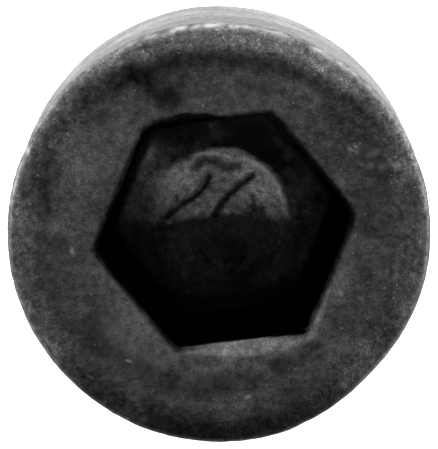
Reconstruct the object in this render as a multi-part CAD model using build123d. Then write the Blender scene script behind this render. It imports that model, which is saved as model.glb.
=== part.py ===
from build123d import *
import math
import os

# A socket head cap screw, M10 x 25 and threaded up to the head, forged as one piece. Sizes are in millimetres.
# It stands on its tip with the head up. +Z runs along the axis from the tip to the head, and the origin is the
# centre of the bearing face, the ring under the head that clamps the work.

# Head
head_diameter = 16.0
head_height = 10.0
rim_radius = 0.8  # rounding where the side of the head turns into its top
heel_radius = 0.25  # rounding where the side of the head turns into the bearing face

# Hexagon socket, with two of its corners on the X axis
key_size = 8.0  # across the flats of the key
key_clearance = 0.1  # what the socket is wider than the key, flat to flat
socket_depth = 5.4  # from the top of the head to the flat ledge of the floor
mouth_lap = 0.22  # how far the mouth's countersink reaches past the hexagon's corners
mouth_slope = 32.0  # the countersink's fall towards the axis, in degrees
ledge_width = 1.45  # flat ledge between the hexagon's flats and the punched recess
recess_wall = 0.35  # straight wall round the recess
recess_crown = 0.35  # how much deeper the middle of the recess is than the foot of its wall

# Shank
length = 25.0  # from the bearing face to the end of the tip
thread_diameter = 10.0  # over the crests of the thread
neck_radius = 0.5  # fillet under the head
tip_diameter = 8.0  # flat end of the tip, inside its chamfer
tip_angle = 45.0  # the tip chamfer's angle to the axis, in degrees

socket_flats = key_size + key_clearance
socket_corners = socket_flats / math.cos(math.radians(30))
mouth_diameter = socket_corners + 2 * mouth_lap
recess_diameter = socket_flats - 2 * ledge_width


def head_blank():
    """The head as a plain cylinder with its rim and heel rounded."""
    blank = Pos(0, 0, head_height / 2) * Cylinder(head_diameter / 2, head_height)
    heel, rim = blank.edges().filter_by(GeomType.CIRCLE).sort_by(Axis.Z)
    return blank.fillet(rim_radius, [rim]).fillet(heel_radius, [heel])


def shank():
    """The shank at its thread's outer diameter, chamfered at the tip, with its top sunk into the head."""
    root = rim_radius  # how far it runs up into the head, to be fused with it
    body = Pos(0, 0, (root - length) / 2) * Cylinder(thread_diameter / 2, length + root)
    chamfer_depth = (thread_diameter - tip_diameter) / 2
    chamfer_rise = chamfer_depth / math.tan(math.radians(tip_angle))
    end_edge = body.edges().filter_by(GeomType.CIRCLE).sort_by(Axis.Z)[0]
    end_face = body.faces().sort_by(Axis.Z)[0]
    return body.chamfer(chamfer_depth, chamfer_rise, [end_edge], face=end_face)


def socket_hollow():
    """What the key socket takes out of the head: hexagon, countersunk mouth and round recess in the floor."""
    floor_z = head_height - socket_depth
    hexagon = RegularPolygon(socket_flats / 2, 6, major_radius=False)
    prism = Pos(0, 0, floor_z) * extrude(hexagon, socket_depth)
    mouth_depth = mouth_diameter / 2 * math.tan(math.radians(mouth_slope))
    mouth = Pos(0, 0, head_height - mouth_depth / 2) * Cone(0, mouth_diameter / 2, mouth_depth)
    wall = Pos(0, 0, floor_z) * Cylinder(recess_diameter / 2, 2 * recess_wall)
    crown_z = floor_z - recess_wall - recess_crown / 2
    crown = Pos(0, 0, crown_z) * Cone(0, recess_diameter / 2, recess_crown)
    return prism + mouth + wall + crown


def cap_screw():
    """The whole screw as one solid, with the fillet between the head and the shank."""
    blank = head_blank() + shank()
    under_head = [e for e in blank.edges().filter_by(GeomType.CIRCLE)
                  if abs(e.arc_center.Z) < 1e-6 and abs(e.radius - thread_diameter / 2) < 1e-6]
    return blank.fillet(neck_radius, under_head) - socket_hollow()


os.makedirs("parts", exist_ok=True)
screw = cap_screw()
export_step(screw, "parts/cap_screw.step")
box = screw.bounding_box()
print(f"cap_screw: {screw.volume:.1f} mm3, z {box.min.Z:.3f} to {box.max.Z:.3f} mm")
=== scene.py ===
"""The looks of an M10 x 25 socket head cap screw with a worn black oxide skin, standing on its tip.

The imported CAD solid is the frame: its box gives the head's size and the shank's end, and the modelled screw
replaces it with the forged shape of the head, the struck key socket and the rolled thread.
Shapes are worked out in millimetres in the frame's own axes and turned into metres when the mesh is made.
"""

import math

import bmesh
import bpy
import numpy as np
from mathutils import Matrix, Vector, noise


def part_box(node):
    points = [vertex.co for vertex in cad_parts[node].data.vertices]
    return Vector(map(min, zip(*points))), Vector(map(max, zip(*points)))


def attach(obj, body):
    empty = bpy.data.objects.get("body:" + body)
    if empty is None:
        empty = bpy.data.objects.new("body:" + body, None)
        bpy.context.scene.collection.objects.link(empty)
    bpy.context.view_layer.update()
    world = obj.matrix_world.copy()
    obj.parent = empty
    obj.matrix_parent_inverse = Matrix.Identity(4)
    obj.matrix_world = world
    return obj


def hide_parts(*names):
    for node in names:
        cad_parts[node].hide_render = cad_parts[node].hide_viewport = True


MM = 0.001

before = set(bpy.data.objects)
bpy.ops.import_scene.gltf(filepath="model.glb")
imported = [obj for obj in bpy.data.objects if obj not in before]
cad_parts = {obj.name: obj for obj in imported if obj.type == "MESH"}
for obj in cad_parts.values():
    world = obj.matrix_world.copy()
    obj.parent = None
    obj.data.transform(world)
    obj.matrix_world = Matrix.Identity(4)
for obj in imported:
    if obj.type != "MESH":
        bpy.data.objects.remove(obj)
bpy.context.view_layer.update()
low, high = (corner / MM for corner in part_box("cap_screw"))

# ---------------------------------------------------------------------------------------------------------
# Sizes, in millimetres and degrees
# ---------------------------------------------------------------------------------------------------------

SEGMENTS = 216  # points round every ring; a multiple of 6, so that the hexagon's corners fall on points
SKIN = 0.06  # how far the even shape stays inside the CAD box, to leave room for the forging's bumps

# Head
HEAD_TOP = high.z - SKIN
HEAD_RADIUS = high.x - SKIN
HEEL = 0.25  # rounding where the side turns into the bearing face
RIM_SLOPES = (  # the rim from the flat top to the side: stretch of surface, and its fall at the stretch's end
    (0.56, 12.0), (0.12, 18.0), (0.56, 24.0), (0.44, 90.0),
)
RIM_STEP = 0.07  # length of a step along the rim's section
SIDE_INSET = 0.035  # how far the side stands in from the rim's foot
TRIM_Z = 6.2  # height of the groove and the small step that trimming left round the side
TRIM_STEP = 0.035
TRIM_GROOVE = 0.05

# Key socket
SOCKET_SHIFT = (0.19, 0.09)  # the struck socket sits a little off the head's centre
MOUTH_FLATS = 8.42
FLOOR_FLATS = 7.86
CORNER_WEAR = 0.08  # what has gone from the hexagon's corners
CORNER_WEAR_ANGLE = 7  # how far from a corner the wear reaches
MOUTH_CORNERS = (  # how far each corner of the mouth is turned, and its reach as a share of the even one
    (0.6, 1.009), (1.9, 0.9875), (2.4, 0.992), (-2.3, 0.999), (-1.0, 0.965), (2.7, 1.009),
)
FLOOR_DEPTH = 5.25  # to the ridge round the recess
FLOOR_FILLET = 0.50
RIDGE_FALL = 0.24  # from the ridge out to the foot of the hexagon's sides
RECESS_RADIUS = 2.58
RECESS_DEPTH = 0.14  # of the recess below the ridge round it, at its deepest
RECESS_SHALLOWEST = 0.22  # the recess's depth where it is least, as a share of the deepest
RECESS_DEEPEST_AT = (48, 95)  # angle as the camera sees it, and half width
RECESS_CROWN = 0.38  # how much deeper the middle of the recess is than its edge
RIDGE_INSIDE = 0.955  # the ridge's inner foot and its crest, as shares of the recess's radius
RIDGE_CREST = 1.02

# Lip that the punch rolled over round the mouth
LIP_SLOPE = 38.5  # the lip's fall at its edge, where it is wide
LIP_STEEPER = 22.0  # what is added to the slope where the lip is torn down
LIP_TORN_AT = (106, 34)  # angle as the camera sees it, and half width
LIP_STRUCK_AT = (285, 42)  # the same for the bright stretch of the lip, which is left without the painted shade round the mouth
LIP_BEND = 1.5  # how fast the lip flattens away from its edge
LIP_WIDTHS = (  # the lip's width at angles as the camera sees them, from its right
    (7, 0.10), (38, 0.12), (69, 0.08), (85, 0.10), (92, 0.22), (104, 0.48), (112, 0.50), (119, 0.46),
    (126, 0.30), (132, 0.14), (158, 0.10), (186, 0.06), (205, 0.05), (218, 0.05), (235, 0.06), (247, 0.16),
    (262, 0.48), (278, 0.70), (300, 0.62), (310, 0.46), (325, 0.32), (338, 0.16), (350, 0.10),
)

# Shank and thread
PITCH = 1.5
CREST_RADIUS = 4.94
ROOT_RADIUS = 4.08
NECK_RADIUS = 4.62
NECK_FILLET = 0.7
TIP_Z = low.z
TIP_RADIUS = 4.0
RUN_OUT = (-4.2, -2.0)  # the thread fades between these heights

# Camera
VIEW_TURN = 8.0  # the picture's sideways is this far clockwise from +X
VIEW_TILT = 6.9  # between the screw's axis and the line to the camera
VIEW_DISTANCE = 160.0
RIM_SHARE = 0.47105  # the head's radius as a share of the picture's height
RIM_DROP_SHARE = 0.01782  # how far the head's centre lies below the picture's, as a share of its height

turned, tilted = math.radians(VIEW_TURN), math.radians(VIEW_TILT)
ACROSS = Vector((math.cos(turned), -math.sin(turned), 0))  # the picture's sideways
UPWARD = Vector((math.sin(turned), math.cos(turned), 0))  # the level direction that is the picture's up


def seen(right, up):
    """A place on the head, right and up of its centre as the camera sees it, in the frame's X and Y."""
    return (right * ACROSS.x + up * UPWARD.x, right * ACROSS.y + up * UPWARD.y)


def smooth(x, start, end):
    """0 before start, 1 after end, and an even curve between."""
    t = np.clip((np.asarray(x, float) - start) / (end - start), 0, 1)
    return t * t * (3 - 2 * t)


def bump(x, half_width):
    """1 at 0, falling evenly to 0 at half_width from it."""
    return 1 - smooth(np.abs(np.asarray(x, float)), 0, half_width)


theta = np.arange(SEGMENTS) * 2 * math.pi / SEGMENTS
theta_deg = np.degrees(theta)
seen_deg = (theta_deg + VIEW_TURN) % 360  # the same angles as the camera sees them, from its right

corner_angles = np.arange(7) * 60
corner_turns, corner_reaches = np.array(MOUTH_CORNERS + MOUTH_CORNERS[:1]).T


def from_flat(angle):
    """How far an angle is from the middle of the hexagon's nearest side. Two corners lie on X."""
    return angle % 60 - 30


def corner_wear(angle):
    """What has gone from the hexagon at each angle."""
    return CORNER_WEAR * bump(30 - np.abs(from_flat(angle)), CORNER_WEAR_ANGLE)


def hexagon(flats):
    """Distance from the centre to a hexagon's side at each angle of a ring."""
    return flats / 2 / np.cos(np.radians(from_flat(theta_deg))) - corner_wear(theta_deg)


def near_angle(angles, middle, half_width):
    """1 at the middle angle, falling evenly to 0 at half_width degrees from it."""
    return bump((angles - middle + 180) % 360 - 180, half_width)


def dented(marks):
    """The depth at each angle of a ring of marks given by angle as seen, half width and depth."""
    return sum(depth * near_angle(seen_deg, angle, width) for angle, width, depth in marks)


# ---------------------------------------------------------------------------------------------------------
# The head, as rings of points from the middle of the socket's floor out and down to the neck
# ---------------------------------------------------------------------------------------------------------

HEAD_DENTS = (  # where the side is knocked flat, or stands proud
    (316, 40, 0.13), (286, 9, -0.02), (235, 50, 0.03),
    (157, 4, 0.05), (151, 3, -0.02), (60, 14, 0.03), (120, 10, 0.02), (20, 6, 0.025),
)
MOUTH_CHIPS = (  # where the mouth's edge has rolled outwards
    (121, 6, 0.05), (107, 5, 0.04), (95, 5, 0.05), (82, 4, 0.03),
    (133, 3, 0.03), (150, 8, 0.02), (30, 7, 0.03), (200, 9, 0.02),
)
LOW_DENT_SHARE = 0.35  # how much of the side's dents is left at its foot

knocked = dented(HEAD_DENTS)
chipped = dented(MOUTH_CHIPS)
mouth_edge = hexagon(MOUTH_FLATS) + chipped
lip_width = np.interp(seen_deg, *np.array(LIP_WIDTHS).T, period=360)


def ring(radius, height, shift=(0, 0), warp=0.0):
    """One closed ring of points. Warp is the share that it takes of the mouth's uneven corners."""
    at = theta + np.radians(np.interp(theta_deg, corner_angles, corner_turns)) * warp
    radius = radius * (1 + (np.interp(theta_deg, corner_angles, corner_reaches) - 1) * warp)
    height = np.broadcast_to(height, SEGMENTS)
    return np.stack([radius * np.cos(at) + shift[0], radius * np.sin(at) + shift[1], height], 1)


def recess_rings():
    """The dished recess in the middle of the socket's floor, and the ridge round it."""
    ridge_z = HEAD_TOP - FLOOR_DEPTH
    varying = RECESS_SHALLOWEST + (1 - RECESS_SHALLOWEST) * near_angle(seen_deg, *RECESS_DEEPEST_AT)
    edge = RECESS_DEPTH * varying
    rings = []
    for s in np.linspace(0.015, 1, 58):
        dip = RECESS_DEPTH / 2 + (edge - RECESS_DEPTH / 2) * s * s + RECESS_CROWN * (1 - s * s) ** 1.6
        rings.append(ring(RECESS_RADIUS * RIDGE_INSIDE * s, ridge_z - dip, SOCKET_SHIFT))
    for s in np.linspace(0.15, 1, 7):
        radius = RECESS_RADIUS * (RIDGE_INSIDE + (RIDGE_CREST - RIDGE_INSIDE) * s)
        rings.append(ring(radius, ridge_z - edge * (1 - float(smooth(s, 0, 1))), SOCKET_SHIFT))
    return rings


def ledge_rings():
    """The ledge that falls from the ridge, and the fillet at the foot of the hexagon's sides."""
    ridge_z = HEAD_TOP - FLOOR_DEPTH
    inner = RECESS_RADIUS * RIDGE_CREST
    outer = hexagon(FLOOR_FLATS - 2 * FLOOR_FILLET)
    rings = []
    for s in np.linspace(0.05, 1, 24):
        fall = RIDGE_FALL * float(smooth(s, -0.05, 1.0))
        rings.append(ring(inner + (outer - inner) * s, ridge_z - fall, SOCKET_SHIFT))
    for turn in np.radians(np.linspace(15, 90, 6)):
        flats = FLOOR_FLATS - 2 * FLOOR_FILLET * (1 - math.sin(turn))
        rise = FLOOR_FILLET * (1 - math.cos(turn))
        rings.append(ring(hexagon(flats), ridge_z - RIDGE_FALL + rise, SOCKET_SHIFT))
    return rings


def wall_rings():
    """The hexagon's sides, which widen a little towards the mouth, and the lip rolled over at their top."""
    foot = HEAD_TOP - FLOOR_DEPTH - RIDGE_FALL + FLOOR_FILLET
    wide = smooth(lip_width, 0.04, 0.30)
    steep = np.radians(LIP_SLOPE * wide + LIP_STEEPER * near_angle(seen_deg, *LIP_TORN_AT))
    fall = lip_width * np.tan(steep) / LIP_BEND
    lip = HEAD_TOP - fall
    rings = []
    for s in np.linspace(0.04, 1, 28):
        side = hexagon(FLOOR_FLATS + (MOUTH_FLATS - FLOOR_FLATS) * s) + chipped * float(smooth(s, 0.8, 1))
        rings.append(ring(side, foot + (lip - foot) * s, SOCKET_SHIFT, s))
    for s in np.linspace(0.08, 1, 12):
        rings.append(ring(mouth_edge + lip_width * s, HEAD_TOP - fall * (1 - s) ** LIP_BEND, SOCKET_SHIFT, 1))
    return rings


def rim_outline():
    """The rim's section as radii and heights, found by walking along its slopes."""
    radius, height, fall = 0.0, 0.0, 0.0
    walk = [(radius, height)]
    for stretch, next_fall in RIM_SLOPES:
        steps = max(4, round(stretch / RIM_STEP))
        for k in range(steps):
            at = math.radians(fall + (next_fall - fall) * (k + 0.5) / steps)
            radius += stretch / steps * math.cos(at)
            height -= stretch / steps * math.sin(at)
            walk.append((radius, height))
        fall = next_fall
    return [(HEAD_RADIUS - radius + r, HEAD_TOP + h) for r, h in walk]


def top_rings():
    """The flat top of the head and the rim."""
    rim = rim_outline()
    start = mouth_edge + lip_width
    rings = []
    for s in np.linspace(0.04, 1, 28)[:-1]:
        shift = (SOCKET_SHIFT[0] * (1 - s), SOCKET_SHIFT[1] * (1 - s))
        rings.append(ring(start + (rim[0][0] - start) * s, HEAD_TOP, shift, 1 - s))
    for radius, height in rim:
        reach = float(smooth(radius, rim[0][0], HEAD_RADIUS))
        rings.append(ring(radius - knocked * reach, height))
    return rings


def side_rings():
    """The side of the head with its trimming mark, and the heel."""
    side = HEAD_RADIUS - SIDE_INSET
    rings = []
    for z in np.linspace(rim_outline()[-1][1], HEEL, 34)[1:]:
        dents = knocked * (LOW_DENT_SHARE + (1 - LOW_DENT_SHARE) * float(smooth(z, 0, HEAD_TOP - 2)))
        step = TRIM_STEP * float(smooth(z, TRIM_Z - 0.05, TRIM_Z + 0.15))
        groove = TRIM_GROOVE * float(bump(z - TRIM_Z, 0.25))
        rings.append(ring(side - dents + step - groove, z))
    for turn in np.radians(np.linspace(18, 90, 5)):
        radius = side - knocked * LOW_DENT_SHARE - HEEL * (1 - math.cos(turn))
        rings.append(ring(radius, HEEL * (1 - math.sin(turn))))
    return rings


def bearing_rings():
    """The bearing face in to the neck, and the neck's fillet."""
    outer = HEAD_RADIUS - SIDE_INSET - HEEL - knocked * LOW_DENT_SHARE
    inner = NECK_RADIUS + NECK_FILLET
    rings = []
    for s in np.linspace(0, 1, 9)[1:]:
        rings.append(ring(outer + (inner - outer) * s, 0))
    for turn in np.radians(np.linspace(15, 90, 6)):
        rings.append(ring(inner - NECK_FILLET * math.sin(turn), -NECK_FILLET * (1 - math.cos(turn))))
    return rings


# ---------------------------------------------------------------------------------------------------------
# The thread, as rows that climb one pitch a turn and are cut off flat at the neck and the tip
# ---------------------------------------------------------------------------------------------------------

PROFILE = (  # place in the pitch, and depth below the crest as a share of the thread's depth
    (0.00, 0.06), (0.035, 0.0), (0.09, 0.0), (0.125, 0.06), (0.28, 0.47), (0.42, 0.88),
    (0.49, 0.985), (0.5625, 1.0), (0.635, 0.985), (0.705, 0.88), (0.845, 0.47),
)


def thread_rows():
    """Rows of radii and heights. A row is one turn of a helix and joins the row one profile further."""
    top, bottom = -NECK_FILLET, TIP_Z
    turns = math.ceil((top - bottom) / PITCH) + 3
    rows = []
    for k in range(turns):
        for place, depth in PROFILE:
            z = np.clip(bottom + PITCH * (k - 1.5 + place + theta / (2 * math.pi)), bottom, top)
            full = CREST_RADIUS - (CREST_RADIUS - ROOT_RADIUS) * depth
            radius = full + (NECK_RADIUS - full) * smooth(z, *RUN_OUT)
            chamfer = TIP_RADIUS + (z - TIP_Z)
            rows.append((np.minimum(radius, chamfer), z))
    return rows


def net_faces(first, rows, wrap):
    """Faces between neighbouring rows of points. The last column joins the first one wrap rows further on."""
    faces = []
    for j in range(rows - 1):
        for i in range(SEGMENTS):
            k, rise = ((i + 1), 0) if i < SEGMENTS - 1 else (0, wrap)
            if j + 1 + rise < rows:
                a, b = first + j * SEGMENTS, first + (j + rise) * SEGMENTS
                faces.append((a + i, b + k, b + SEGMENTS + k, a + SEGMENTS + i))
    return faces


def build_points():
    """All points and faces of the screw, before its parts are joined and its surface is roughened."""
    thread = thread_rows()
    points = [np.stack([r * np.cos(theta), r * np.sin(theta), z], 1) for r, z in thread]
    faces = net_faces(0, len(thread), len(PROFILE))
    head = recess_rings() + ledge_rings() + wall_rings() + top_rings() + side_rings() + bearing_rings()
    head.reverse()
    faces += net_faces(len(thread) * SEGMENTS, len(head), 0)
    points = np.concatenate(points + head)
    pole, tip = len(points), len(points) + 1
    middle = (SOCKET_SHIFT[0], SOCKET_SHIFT[1], HEAD_TOP - FLOOR_DEPTH - RECESS_DEPTH / 2 - RECESS_CROWN)
    points = np.concatenate([points, [middle, (0, 0, TIP_Z)]])
    last = pole - SEGMENTS
    for i in range(SEGMENTS):
        k = (i + 1) % SEGMENTS
        faces.append((last + i, last + k, pole))
        faces.append((k, i, tip))
    return points, faces


# ---------------------------------------------------------------------------------------------------------
# What the forging and its use have left on the surface, and the painted shade and highlights laid on it
# ---------------------------------------------------------------------------------------------------------

FOLDS = (  # folds in the socket's floor, whose colour is darkened as painted shade: half width, depth and a route, right and up of the recess's centre
    (0.14, 0.13, ((-0.60, 1.52), (-0.82, 1.12), (-1.06, 0.79), (-1.40, 0.58), (-1.72, 0.40), (-2.18, 0.00))),
    (0.10, 0.05, ((-2.18, 0.00), (-2.45, -0.53))),
    (0.11, 0.07, ((-1.72, 0.40), (-1.80, 0.72))),
    (0.14, 0.10, ((1.06, 1.52), (0.70, 1.26), (0.40, 0.99), (0.16, 0.76), (0.00, 0.53), (-0.33, 0.00))),
    (0.10, 0.03, ((-0.33, 0.00), (-0.26, -0.50), (-0.34, -1.10))),
    (0.19, 0.10, ((-1.06, 1.90), (-0.95, 2.10), (-0.72, 2.22), (-0.26, 2.12), (0.02, 1.88), (0.53, 1.90))),
    (0.09, 0.06, ((1.08, 0.72), (1.19, 0.42), (0.93, 0.26))),
    (0.08, 0.05, ((1.19, 0.42), (1.52, 0.26))),
    (0.18, 0.10, ((3.02, 0.48), (3.06, 0.36))),
    (0.11, 0.06, ((0.75, -1.60), (0.50, -1.95), (0.15, -2.25))),
    (0.09, 0.04, ((0.45, -1.05), (0.20, -1.50), (0.05, -1.85))),
    (0.16, 0.05, ((2.42, -2.48), (2.60, -2.68))),
    (0.08, 0.04, ((-0.90, -1.30), (-0.60, -1.75))),
)
FLOOR_STAINS_AND_SHADE = (  # dark marks on the ledge and in the recess, stains and painted shade: half width, strength and a route
    # painted shade: the dark arc on the ledge round the recess's upper right
    (0.36, 0.98, ((-1.80, 2.30), (-0.80, 2.78), (0.00, 2.98), (1.00, 2.78), (1.90, 2.15), (2.50, 1.40),
                  (2.85, 0.55))),
    # painted shade at the foot of the socket's upper side
    (0.22, 0.30, ((-0.80, 3.20), (0.40, 3.40), (1.40, 3.20))),
    (0.30, 0.35, ((-0.30, -0.95), (0.70, -1.25), (0.20, -1.70))),
    # painted shade along the recess's lower edge
    (0.25, 0.60, ((-1.10, -2.42), (0.00, -2.62), (1.10, -2.30), (1.70, -1.75))),
    (0.35, 0.70, ((-2.90, -3.10), (-1.70, -3.75))),
    (0.35, 0.70, ((1.90, -3.50), (2.90, -2.80))),
    (0.25, 0.25, ((-1.90, -0.20), (-2.60, -0.90))),
    # painted shade over a lit patch at the recess's right end
    (0.24, 0.85, ((2.74, 0.40), (2.90, -0.25))),
)
STAINS_AND_SHADE = (  # dark marks on the head's top, stains and painted shade: half width, strength and a route from the head's centre
    (0.40, 1.00, ((-3.97, 5.77), (-3.20, 6.12), (-2.62, 5.84), (-2.24, 5.38), (-1.78, 5.06))),
    (0.34, 0.70, ((-3.30, 6.10), (-4.30, 5.50), (-5.05, 5.20))),
    (0.30, 0.45, ((-2.20, 6.55), (-1.50, 6.30), (-1.35, 5.85))),
    (0.30, 0.40, ((-5.05, 5.20), (-6.00, 4.10), (-6.45, 3.10))),
    (0.40, 0.50, ((-4.90, 4.60), (-4.30, 4.30), (-4.35, 3.75))),
    (0.35, 0.70, ((-6.45, 3.10), (-6.75, 2.30), (-6.70, 1.20), (-6.60, 0.90))),
    (0.25, 0.35, ((-7.20, 0.90), (-6.60, 0.00), (-5.90, -0.40))),
    (0.40, 0.35, ((-6.60, -1.20), (-6.20, -2.00), (-5.80, -2.60))),
    (0.38, 0.55, ((-5.90, -2.95), (-5.00, -3.50), (-4.40, -4.30), (-3.40, -4.90), (-2.30, -5.45),
                  (-0.70, -5.70), (1.20, -5.55))),
    (0.30, 0.60, ((2.30, -4.95), (3.10, -4.45), (3.70, -4.35))),
    (0.35, 0.35, ((4.00, -3.70), (4.60, -3.10), (5.10, -2.20), (5.40, -1.30))),
    (0.40, 0.45, ((4.10, 4.90), (5.00, 4.10), (5.60, 3.30), (6.20, 2.30))),
    (0.35, 0.35, ((5.10, 2.30), (5.40, 1.20), (5.70, 0.20))),
    (0.25, 0.35, ((1.00, 5.75), (2.30, 5.50), (3.20, 5.20))),
    (0.25, 0.30, ((-5.20, -5.20), (-4.20, -6.20), (-3.20, -6.60))),
    # painted shade along the rim at the picture's foot, where the rim faces away from the light
    (0.55, 0.45, ((-5.00, -6.20), (-3.00, -7.35), (0.00, -7.90), (3.00, -7.35), (5.00, -6.20))),
)
RUBS = (  # light rubbed marks: half width, strength and a route, right and up of the head's centre
    (0.07, 0.26, ((5.30, 2.66), (6.10, 2.56), (6.75, 2.62))),
    (0.06, 0.20, ((5.50, 2.98), (5.90, 3.10))),
    (0.07, 0.22, ((5.85, 0.34), (6.60, 0.20), (7.00, 0.22))),
    (0.06, 0.22, ((6.25, -1.35), (6.55, -1.20), (6.70, -1.50), (6.40, -1.70), (6.22, -1.50))),
    (0.07, 0.60, ((4.86, 3.28), (4.90, 3.20))), (0.07, 0.60, ((5.06, 3.42), (5.10, 3.32))),
    (0.06, 0.50, ((5.12, 3.12), (5.16, 3.06))), (0.06, 0.50, ((4.92, 3.00), (4.95, 2.96))),
    (0.055, 1.00, ((-5.53, -0.58), (-5.50, -0.60))),
    (0.06, 0.90, ((-3.36, -4.76), (-3.33, -4.80))),
    (0.07, 1.00, ((1.02, -6.10), (1.14, -6.12))),
    (0.07, 0.50, ((4.54, -2.18), (4.56, -2.24))),
    (0.06, 0.45, ((6.78, -3.30), (6.86, -3.42))),
    (0.06, 0.50, ((-5.85, 2.06), (-5.80, 2.05))), (0.06, 0.50, ((-5.25, 2.04), (-5.20, 2.03))),
    (0.08, 0.35, ((-6.55, -3.90), (-6.15, -4.40), (-6.10, -4.80))),
    (0.07, 0.35, ((-4.90, -5.30), (-4.75, -5.45))),
    (0.06, 0.30, ((-3.20, -6.20), (-2.80, -6.80), (-2.85, -7.10))),
    (0.12, 0.14, ((3.40, -4.60), (4.30, -4.05))),
    (0.06, 0.40, ((4.60, -5.60), (4.90, -5.80))),
    (0.10, 1.00, ((-7.22, 3.26), (-7.12, 3.18))),
    (0.16, 0.12, ((-4.70, 3.55), (-4.20, 4.10), (-3.30, 4.45))),
    (1.00, 0.055, ((-3.70, -3.70), (-3.00, -4.80))),
    (0.90, 0.045, ((-1.50, 5.00), (1.50, 5.20))),
    (1.00, 0.045, ((-4.70, 2.40), (-3.60, 4.00))),
)
FLOOR_HIGHLIGHTS = (  # painted highlights in the socket's floor, on bumps and on the lit edge round the recess, right and up of the recess's centre
    (0.09, 0.45, ((0.10, 0.14), (0.20, 0.02))), (0.09, 0.40, ((-1.08, 0.06), (-0.98, 0.16))),
    (0.08, 0.30, ((1.15, 0.98), (1.25, 0.88))), (0.07, 0.28, ((-1.20, 2.10), (-0.90, 2.38), (-0.20, 2.42))),
    (0.10, 0.35, ((1.15, 2.08), (1.70, 1.68), (2.10, 1.10), (2.30, 0.50))),
    (0.09, 0.40, ((2.30, 0.28), (2.42, 0.02))),
    (0.08, 0.35, ((0.06, 2.34), (0.16, 2.30))), (0.07, 0.30, ((0.10, -1.60), (0.32, -1.42))),
    (0.12, 0.15, ((0.35, 0.95), (0.85, 0.70))), (0.75, 0.13, ((-1.20, -0.70), (1.50, -0.50))),
)
EDGE_WEAR_AND_HIGHLIGHT = (  # bright stretches of the rim's outer edge, wear and painted highlight, strongest on the picture's top side: angle as seen, half width and strength
    (104, 26, 0.50), (138, 26, 0.25), (88, 26, 0.60), (56, 32, 0.65), (165, 12, 0.5), (210, 16, 0.25),
    (320, 20, 0.25),
)
GRAINS = {  # size, seed and octaves of each noise
    "broad": (2.6, 1, 2), "mid": (0.9, 2, 3), "fine": (0.32, 3, 2),
}
DEEPEST = 0.2  # how far the marks may sink below the even shape


def near_route(points, route, half_width):
    """1 on a route through the given places, falling evenly to 0 at half_width from it."""
    nearest = np.full(len(points), 1e9)
    stops = [np.array(seen(*place)) for place in route]
    for a, b in zip(stops, stops[1:]):
        run = b - a
        along = np.clip((points[:, :2] - a) @ run / max(run @ run, 1e-9), 0, 1)
        nearest = np.minimum(nearest, np.linalg.norm(points[:, :2] - a - along[:, None] * run, axis=1))
    return bump(nearest, half_width)


def seen_angle(points):
    """The angle of each point round the screw's axis, as the camera sees it."""
    return np.degrees(np.arctan2(points[:, 1], points[:, 0])) + VIEW_TURN


def grain(points, size, seed, octaves):
    """Smooth noise with features of the given size, about -1 to 1, at each point."""
    away = Vector((seed * 13.7, seed * 7.3, seed * 3.1))
    return np.array([noise.fractal(Vector(p) / size + away, 0.7, 2.0, octaves) for p in points])


def marked(points, marks, spread, gain=1.0):
    """The strongest of some marks at each point. Gain above 1 gives a mark a flat middle."""
    most = np.zeros(len(points))
    for half_width, strength, route in marks:
        near = near_route(points, route, half_width * spread)
        most = np.maximum(most, strength * np.clip(gain * near, 0, 1))
    return most


def socket_zones(points, struck):
    """Shares of the socket's sides and floor at each point, and of the painted shade along the edge round the
    mouth.
    """
    x, y, z = points.T
    in_socket = np.hypot(x - SOCKET_SHIFT[0], y - SOCKET_SHIFT[1])
    inside = (in_socket < MOUTH_FLATS / 2 + 1.3) & (z > 2)
    angle = np.degrees(np.arctan2(y - SOCKET_SHIFT[1], x - SOCKET_SHIFT[0]))
    to_flat = in_socket * np.cos(np.radians(from_flat(angle)))
    reach = np.interp(angle % 360, corner_angles, corner_reaches)
    clean = smooth(struck, 0, 0.2)
    past_mouth = to_flat / reach - MOUTH_FLATS / 2 + 0.4 * corner_wear(angle) * (1 - clean) + 0.03 * struck
    low = z < HEAD_TOP - FLOOR_DEPTH + 1.0
    ledge_end = FLOOR_FLATS / 2 - FLOOR_FILLET
    wall = inside * np.where(low, smooth(to_flat, ledge_end + 0.08, ledge_end + 0.34),
                             1 - smooth(past_mouth, 0.02, 0.06))
    floor = inside * low * (1 - wall)
    # painted shade along the mouth's edge, left out on the lip's struck stretch
    mouth = np.clip(1.5 * bump(past_mouth, 0.30), 0, 1) * (z > HEAD_TOP - 0.5) * (1 - struck)
    return {"wall": wall, "floor": floor, "socket": np.clip(wall + floor, 0, 1), "mouth": mouth}


def zones(points):
    """Where each point is as the camera sees it, and its shares in the parts that look different."""
    x, y, z = points.T
    zone = socket_zones(points, near_angle(seen_angle(points), *LIP_STRUCK_AT))
    head = smooth(z, -0.2, 0.1)
    from_axis = np.hypot(x, y)
    outer = smooth(from_axis, HEAD_RADIUS - 1.35, HEAD_RADIUS - 0.75)
    above_socket = SOCKET_SHIFT[0] * UPWARD.x + SOCKET_SHIFT[1] * UPWARD.y
    zone["right"] = x * ACROSS.x + y * ACROSS.y
    zone["up"] = x * UPWARD.x + y * UPWARD.y
    zone["up_in_socket"] = zone["up"] - above_socket
    zone["z"], zone["from_axis"], zone["head"] = z, from_axis, head
    zone["rim"] = head * outer * smooth(z, HEAD_TOP - 2.4, HEAD_TOP - 0.9)
    zone["top"] = (z > HEAD_TOP - 1.2) * (1 - zone["socket"])
    zone["side"] = head * smooth(-z, -HEAD_TOP + 1.2, -HEAD_TOP + 2.2) * (1 - zone["socket"])
    return zone


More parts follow.
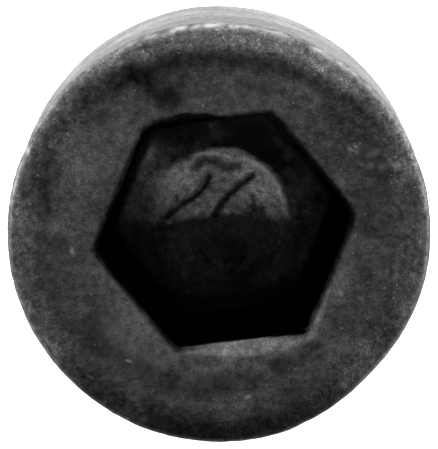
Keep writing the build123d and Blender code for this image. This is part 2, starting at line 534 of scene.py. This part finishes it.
def forged(points, zone, grains):
    """The lumps of the forged skin, in millimetres. The shank is rolled smooth."""
    broad, mid, fine = grains["broad"], grains["mid"], grains["fine"]
    height = zone["head"] * (1 - zone["wall"]) * (0.016 * broad + 0.010 * mid + 0.006 * fine)
    height += zone["floor"] * (0.040 * mid + 0.008 * fine)
    height += zone["rim"] * 0.010 * fine
    return height + zone["wall"] * 0.006 * grain(points * (1, 1, 0.25), 0.5, 4, 2)


def folded(in_recess, floor, fine):
    """The depth of the folds in the socket's floor, in millimetres."""
    depth = np.zeros(len(in_recess))
    there = floor > 0.5
    depth[there] = marked(in_recess[there], FOLDS, 1.6) * np.clip(0.95 + 0.35 * fine[there], 0.6, 1.2)
    return depth


def shaded_groove(zone):
    """The shallow groove round the head's top, inside the rim, darkened with painted shade. It is widest at
    the picture's top.
    """
    up, right = zone["up"], zone["right"]
    inset = 0.64 + 0.68 * smooth(up, 3.0, 6.8)
    half_width = 0.55 + 0.28 * smooth(up, 1.0, 6.0)
    share = 0.25 + 0.75 * smooth(up, -3.0, 5.5)
    share = np.maximum(share, 0.75 * smooth(right, 4.0, 6.5) * bump(up - 2.5, 6.0))
    return bump(zone["from_axis"] - (HEAD_RADIUS - inset), half_width) * zone["top"] * share


def stains_and_shade(points, in_recess, zone, grains, groove):
    """How dark the stains and the painted shade are, from 0 to 1."""
    uneven = np.clip(0.85 + 0.6 * grains["mid"], 0.4, 1.15)
    on_top = marked(points, STAINS_AND_SHADE, 1.9, 1.5) * uneven * zone["top"]
    at_mouth = zone["mouth"] * np.clip(1.0 + 0.4 * grains["fine"], 0.8, 1.0)
    past_ridge = smooth(np.hypot(in_recess[:, 0], in_recess[:, 1]), RECESS_RADIUS, RECESS_RADIUS + 0.15)
    # painted shade on the ledge beyond the ridge, towards the socket's upper right
    upper_right = smooth(zone["up_in_socket"] + 0.40 * zone["right"], 0.1, 2.4)
    ledge_shade = upper_right * past_ridge * zone["socket"] * np.clip(uneven + 0.12, 0.86, 1.0)
    on_floor = marked(in_recess, FLOOR_STAINS_AND_SHADE, 1.8, 1.4) * uneven * zone["floor"]
    return np.clip(np.maximum.reduce([on_top, 0.72 * groove, at_mouth, ledge_shade, on_floor]), 0, 1)


def rubs_and_highlights(points, in_recess, zone, fine):
    """How light the rubbed marks, the painted highlights in the socket's floor and the worn edge of the rim
    with its painted highlight are.
    """
    on_head = marked(points, RUBS, 1.5) * zone["head"] * (zone["top"] + zone["rim"] > 0.2)
    # painted highlights in the socket's floor
    on_floor = marked(in_recess, FLOOR_HIGHLIGHTS, 1.5) * zone["floor"]
    at = seen_angle(points)
    worn = np.clip(sum(most * near_angle(at, angle, reach) for angle, reach, most in EDGE_WEAR_AND_HIGHLIGHT), 0, 1)
    edge = bump(zone["z"] - (HEAD_TOP - 0.40), 0.15) * (zone["from_axis"] > HEAD_RADIUS - 0.94)
    # the rim's outer edge: wear, and painted highlight brightest on the picture's top side
    edge_highlight = worn * edge * np.clip(0.6 + 1.5 * fine, 0, 1.3)
    return np.maximum.reduce([on_head, on_floor, edge_highlight])


def surface(points):
    """How far each point stands off the even shape, and the shares that the material is mixed by."""
    zone = zones(points)
    grains = {name: grain(points, *settings) for name, settings in GRAINS.items()}
    in_recess = points.copy()
    in_recess[:, :2] -= SOCKET_SHIFT
    fold_with_shade = folded(in_recess, zone["floor"], grains["fine"])
    groove = shaded_groove(zone)
    rub_and_highlight = rubs_and_highlights(points, in_recess, zone, grains["fine"])
    height = forged(points, zone, grains) - fold_with_shade - 0.012 * groove + 0.010 * rub_and_highlight
    masks = {name: zone[name] for name in ("wall", "floor", "rim", "side")}
    masks["stain_and_shade"] = stains_and_shade(points, in_recess, zone, grains, groove)
    masks["rub_and_highlight"] = np.clip(rub_and_highlight, 0, 1)
    # how far the colour darkens in the folds, as painted shade
    masks["fold_with_shade"] = np.clip(fold_with_shade / 0.07, 0, 1)
    # share towards the picture's top in the socket, which lightens the painted shade on the socket's sides
    masks["less_wall_shade"] = smooth(zone["up_in_socket"], -0.6, 2.2)
    masks["drop"] = smooth(HEAD_TOP - zone["z"], 1.0, 6.5)
    return np.clip(height, -DEEPEST, SKIN - 0.005), masks


def make_screw():
    """The screw's mesh: one closed surface, with its zones stored for the material."""
    points, faces = build_points()
    mesh = bpy.data.meshes.new("cap_screw_forged")
    mesh.from_pydata(points * MM, [], faces)
    net = bmesh.new()
    net.from_mesh(mesh)
    bmesh.ops.remove_doubles(net, verts=net.verts, dist=0.0005 * MM)
    bmesh.ops.dissolve_degenerate(net, edges=net.edges, dist=0.0005 * MM)
    bmesh.ops.recalc_face_normals(net, faces=net.faces)
    net.normal_update()
    even = np.array([v.co for v in net.verts]) / MM
    outward = np.array([v.normal for v in net.verts])
    height, masks = surface(even)
    tip_face = even[:, 2] <= TIP_Z + 0.001
    bearing_face = (np.abs(even[:, 2]) < 0.001) & (outward[:, 2] < -0.5)
    height[tip_face | bearing_face] = 0  # the faces that the screw stands and clamps on stay flat
    for v, co, n, h in zip(net.verts, even, outward, height):
        v.co = Vector(co + n * h) * MM
    net.to_mesh(mesh)
    net.free()
    for name, share in masks.items():
        mesh.attributes.new(name, "FLOAT", "POINT").data.foreach_set("value", share.astype(np.float32))
    mesh.shade_smooth()
    mesh.set_sharp_from_angle(angle=math.radians(48))
    screw = bpy.data.objects.new("cap_screw_forged", mesh)
    bpy.context.scene.collection.objects.link(screw)
    return screw


# ---------------------------------------------------------------------------------------------------------
# Material
# ---------------------------------------------------------------------------------------------------------

class Nodes:
    """Short names for the nodes that the material is built from."""

    def __init__(self, material):
        material.use_nodes = True
        self.tree = material.node_tree
        self.shader = self.tree.nodes["Principled BSDF"]
        place = self.tree.nodes.new("ShaderNodeTexCoord")
        self.place = self.vector("SCALE", place.outputs["Object"], scale=1 / MM)

    def link(self, value, socket):
        if isinstance(value, (int, float)):
            socket.default_value = value
        else:
            self.tree.links.new(value, socket)

    def vector(self, operation, a, b=None, scale=None):
        node = self.tree.nodes.new("ShaderNodeVectorMath")
        node.operation = operation
        self.tree.links.new(a, node.inputs[0])
        if b is not None:
            node.inputs[1].default_value = b
        if scale is not None:
            node.inputs["Scale"].default_value = scale
        return node.outputs["Vector"]

    def math(self, operation, a, b=0.0, clamp=False):
        node = self.tree.nodes.new("ShaderNodeMath")
        node.operation, node.use_clamp = operation, clamp
        self.link(a, node.inputs[0])
        self.link(b, node.inputs[1])
        return node.outputs["Value"]

    def noise(self, size, detail=3.0, rough=0.55, stretch=None):
        node = self.tree.nodes.new("ShaderNodeTexNoise")
        where = self.vector("MULTIPLY", self.place, stretch) if stretch else self.place
        self.tree.links.new(where, node.inputs["Vector"])
        node.inputs["Scale"].default_value = 1 / size
        node.inputs["Detail"].default_value = detail
        node.inputs["Roughness"].default_value = rough
        return node.outputs["Fac"]

    def between(self, value, start, end, low=0.0, high=1.0):
        node = self.tree.nodes.new("ShaderNodeMapRange")
        node.interpolation_type = "SMOOTHSTEP"
        self.link(value, node.inputs["Value"])
        for socket, number in (("From Min", start), ("From Max", end), ("To Min", low), ("To Max", high)):
            node.inputs[socket].default_value = number
        return node.outputs["Result"]

    def mix(self, share, a, b):
        """From a to b by share, for numbers."""
        node = self.tree.nodes.new("ShaderNodeMix")
        node.data_type = "FLOAT"
        self.link(share, node.inputs["Factor"])
        self.link(a, node.inputs["A"])
        self.link(b, node.inputs["B"])
        return node.outputs["Result"]

    def stored(self, name):
        node = self.tree.nodes.new("ShaderNodeAttribute")
        node.attribute_name = name
        return node.outputs["Fac"]

    def add(self, a, b):
        return self.math("ADD", a, b)

    def times(self, a, b):
        return self.math("MULTIPLY", a, b)

    def relief(self, height):
        """Bumps with the given height in millimetres."""
        node = self.tree.nodes.new("ShaderNodeBump")
        node.inputs["Distance"].default_value = MM
        node.inputs["Strength"].default_value = 1.0
        self.tree.links.new(height, node.inputs["Height"])
        return node.outputs["Normal"]

    def grey(self, value):
        node = self.tree.nodes.new("ShaderNodeCombineColor")
        for channel in ("Red", "Green", "Blue"):
            self.tree.links.new(value, node.inputs[channel])
        return node.outputs["Color"]


# How much light each part of the skin gives back, before its mottling
OXIDE = 0.0375
WORN_RIM = 0.044
HEAD_SIDE_PAINTED_LIGHT = (0.048, 0.082)  # painted light, lighter than the top to stand in for the light that grazes the side: under the rim, and lower down
SOCKET_FLOOR = 0.068
SOCKET_WALL_WITH_SHADE = (0.0003, 0.005)  # the socket's near-black sides, with painted shade darkest at the picture's foot: at the picture's foot, and at its top
SPECK = 0.16
BRIGHT_SPECK = 0.17
# the grey of rubbed marks and of the painted highlights that share their mask
RUB_AND_HIGHLIGHT_GREY = 0.22


def without(n, value, mask, most):
    """A value, less as much as most of it where a mask is 1."""
    return n.times(value, n.math("SUBTRACT", 1.0, n.times(mask, most)))


def skin_tone(n, patch, mottle, grit):
    """The mottling, about 1 on average, from clouds of 2 mm down to grit of 0.07 mm."""
    clouds = n.between(n.noise(2.2, 3.0), 0.35, 0.68)
    tone = n.add(0.55, n.times(0.45, clouds))
    tone = n.times(tone, n.between(patch, 0.30, 0.72, 0.78, 1.22))
    tone = n.times(tone, n.between(mottle, 0.28, 0.74, 0.62, 1.45))
    return n.times(tone, n.between(grit, 0.25, 0.78, 0.50, 1.65))


def side_tone(n, tone):
    """The side of the head: streaked round the axis, painted lighter than the top as painted light, and
    darker under the rim.
    """
    streaks = n.between(n.noise(0.55, 3.0, 0.6, (0.16, 0.16, 1.0)), 0.32, 0.68, 0.72, 1.22)
    return n.times(n.times(tone, streaks), n.between(n.stored("drop"), 0.0, 1.0, *HEAD_SIDE_PAINTED_LIGHT))


def skin_colour(n, tone, mottle, worn_rim):
    """The grey of every part, with specks, stains, rubbed marks and folds laid over it, and with painted
    shade and painted highlights.
    """
    wall, rim = n.stored("wall"), n.stored("rim")
    specks = n.between(n.noise(0.11, 2.0, 0.5), 0.66, 0.74)
    bright_specks = n.between(n.noise(0.16, 1.0, 0.4), 0.735, 0.78)
    grey = n.times(tone, OXIDE)
    grey = n.mix(n.times(worn_rim, 0.85), grey, n.times(n.times(tone, tone), WORN_RIM))
    grey = n.mix(n.stored("side"), grey, side_tone(n, tone))
    grey = n.mix(n.times(specks, n.add(0.05, n.times(rim, 0.55))), grey, SPECK)
    grey = n.mix(without(n, n.times(bright_specks, 0.55), wall, 1.0), grey, BRIGHT_SPECK)
    grey = n.mix(n.stored("floor"), grey, n.times(tone, SOCKET_FLOOR))
    # stains, and painted shade on the groove, the mouth's edge, the ledge, the recess and the lower rim
    grey = without(n, grey, n.stored("stain_and_shade"), 0.95)
    # rubbed marks, and painted highlights on the rim's edge and in the socket's floor
    grey = n.mix(n.times(n.stored("rub_and_highlight"), 0.80), grey, RUB_AND_HIGHLIGHT_GREY)
    # painted shade in the folds
    grey = without(n, grey, n.stored("fold_with_shade"), 0.85)
    # the socket's sides: near black, with painted shade darkest at the picture's foot
    return n.mix(wall, grey, n.times(mottle, n.mix(n.stored("less_wall_shade"), *SOCKET_WALL_WITH_SHADE)))


def black_oxide():
    """Forged steel with a matte black skin: mottled, speckled where the rim is worn, darker in stains and
    painted shade, lighter in rubs and painted highlights.
    """
    material = bpy.data.materials.new("black_oxide_steel")
    n = Nodes(material)
    wall, stain_and_shade = n.stored("wall"), n.stored("stain_and_shade")
    patch, mottle, grit = n.noise(0.75, 4.0, 0.6), n.noise(0.24, 4.0, 0.65), n.noise(0.07, 2.0, 0.7)
    worn = n.between(n.noise(0.30, 4.0, 0.7), 0.42, 0.66)
    worn_rim = n.times(n.stored("rim"), n.add(0.35, n.times(worn, 0.65)))
    tone = skin_tone(n, patch, mottle, grit)
    n.link(n.grey(skin_colour(n, tone, mottle, worn_rim)), n.shader.inputs["Base Color"])

    rough = n.mix(worn_rim, n.mix(patch, 0.58, 0.72), 0.54)
    rough = n.add(n.mix(wall, rough, 0.65), n.times(stain_and_shade, 0.12))
    n.link(rough, n.shader.inputs["Roughness"])
    shine = without(n, n.between(mottle, 0.3, 0.7, 0.16, 0.42), stain_and_shade, 0.90)
    n.link(n.mix(wall, shine, 0.0), n.shader.inputs["Specular IOR Level"])
    n.shader.inputs["Metallic"].default_value = 0.25

    lumps = n.add(n.times(patch, 0.030), n.add(n.times(mottle, 0.020), n.times(grit, 0.007)))
    n.link(n.relief(without(n, lumps, wall, 0.85)), n.shader.inputs["Normal"])
    return material


# ---------------------------------------------------------------------------------------------------------
# Camera, floor and light
# ---------------------------------------------------------------------------------------------------------

FLOOR_RADIUS = 3.0  # in metres, like all the lengths of the lights
FLOOR_GLOW = 0.95  # what the floor gives off, so that it shows white like the photograph's background
DIM = 0.045  # light from all round
LIGHTS = (  # name, azimuth from the picture's up, elevation, distance, width and height, power in watts
    ("top_light", 0, 23, 0.25, (0.06, 0.034), 1.63),
    ("edge_light", 0, 3, 0.5, (0.30, 0.03), 1.1),
    ("left_light", -80, 1.4, 0.5, (0.20, 0.015), 6.0),
    ("right_light", 80, 1.4, 0.5, (0.20, 0.015), 7.0),
    ("fill_light", 180, 74, 0.5, (0.15, 0.10), 0.14),
)
BEAMS = (  # azimuth, elevation, width in millimetres, power
    (180, 52, 8.0, 0.000062), (142, 45, 6.0, 0.000023), (218, 45, 6.0, 0.000024),
)
BEAM_SPREAD = 4.0
BEAM_DISTANCE = 0.04
BEAM_FOOTPRINT = 3.9  # how long a beam's patch is on the head's top, in millimetres
BEAM_AIM = 2.5  # the patch's middle, towards the beam from the socket's centre, in millimetres


def make_camera():
    """The camera looks down on the head from a little towards the picture's up, as the photograph does."""
    back = UPWARD * math.sin(tilted) + Vector((0, 0, math.cos(tilted)))
    picture_up = back.cross(ACROSS)
    height = HEAD_RADIUS * MM / RIM_SHARE
    rim_foot = Vector((0, 0, HEAD_TOP - 0.85)) * MM
    aim = rim_foot + picture_up * height * RIM_DROP_SHARE
    data = bpy.data.cameras.new("camera")
    data.sensor_width = 36.0
    data.lens = data.sensor_width * VIEW_DISTANCE * MM / height
    data.clip_start, data.clip_end = 0.01, 10.0
    camera = bpy.data.objects.new("camera", data)
    turn = Matrix((ACROSS, picture_up, back)).transposed().to_4x4()
    camera.matrix_world = Matrix.Translation(aim + back * VIEW_DISTANCE * MM) @ turn
    bpy.context.scene.collection.objects.link(camera)
    bpy.context.scene.camera = camera


def make_floor():
    """A pale floor that the light washes out to white."""
    net = bmesh.new()
    bmesh.ops.create_circle(net, cap_ends=True, segments=96, radius=FLOOR_RADIUS)
    mesh = bpy.data.meshes.new("floor")
    net.to_mesh(mesh)
    net.free()
    floor = bpy.data.objects.new("floor", mesh)
    floor.location.z = TIP_Z * MM
    bpy.context.scene.collection.objects.link(floor)
    material = bpy.data.materials.new("floor")
    material.use_nodes = True
    shader = material.node_tree.nodes["Principled BSDF"]
    shader.inputs["Base Color"].default_value = (0.85, 0.85, 0.85, 1)
    shader.inputs["Roughness"].default_value = 0.7
    shader.inputs["Emission Color"].default_value = (1, 1, 1, 1)
    shader.inputs["Emission Strength"].default_value = FLOOR_GLOW
    mesh.materials.append(material)


def make_world():
    """Dim light from all round, behind a background that shows white."""
    world = bpy.data.worlds.new("world")
    bpy.context.scene.world = world
    world.use_nodes = True
    tree = world.node_tree
    dim = tree.nodes["Background"]
    dim.inputs["Color"].default_value = (1, 1, 1, 1)
    dim.inputs["Strength"].default_value = DIM
    shown = tree.nodes.new("ShaderNodeBackground")
    shown.inputs["Strength"].default_value = 1.0
    path = tree.nodes.new("ShaderNodeLightPath")
    mix = tree.nodes.new("ShaderNodeMixShader")
    tree.links.new(path.outputs["Is Camera Ray"], mix.inputs["Fac"])
    tree.links.new(dim.outputs[0], mix.inputs[1])
    tree.links.new(shown.outputs[0], mix.inputs[2])
    tree.links.new(mix.outputs[0], tree.nodes["World Output"].inputs["Surface"])


def level_direction(azimuth):
    """The level direction that is clockwise from the picture's up by the azimuth."""
    return UPWARD * math.cos(math.radians(azimuth)) + ACROSS * math.sin(math.radians(azimuth))


def area_light(name, azimuth, elevation, distance, size, power, aim):
    """A rectangular light that shines on the place that it is aimed at."""
    e = math.radians(elevation)
    direction = level_direction(azimuth) * math.cos(e) + Vector((0, 0, math.sin(e)))
    data = bpy.data.lights.new(name, "AREA")
    data.shape = "RECTANGLE"
    data.size, data.size_y = size
    data.energy = power
    light = bpy.data.objects.new(name, data)
    light.location = aim + direction * distance
    light.rotation_mode = "QUATERNION"
    light.rotation_quaternion = direction.to_track_quat("Z", "Y")
    bpy.context.scene.collection.objects.link(light)
    return light


def socket_light(azimuth, elevation, width, power):
    """A narrow beam into the socket, for the light that the socket's smooth sides throw back."""
    socket = Vector((*SOCKET_SHIFT, HEAD_TOP)) * MM
    aim = socket + level_direction(azimuth) * BEAM_AIM * MM
    size = (width * MM, BEAM_FOOTPRINT * math.sin(math.radians(elevation)) * MM)
    light = area_light("socket_light", azimuth, elevation, BEAM_DISTANCE, size, power, aim)
    light.data.spread = math.radians(BEAM_SPREAD)
    light.visible_camera = False


make_camera()
make_floor()
make_world()
for settings in LIGHTS:
    area_light(*settings, aim=Vector((0, 0, HEAD_TOP * MM)))
for settings in BEAMS:
    socket_light(*settings)
bpy.context.scene.view_settings.view_transform = "Standard"

screw = make_screw()
screw.data.materials.append(black_oxide())
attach(screw, "root")
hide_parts("cap_screw")
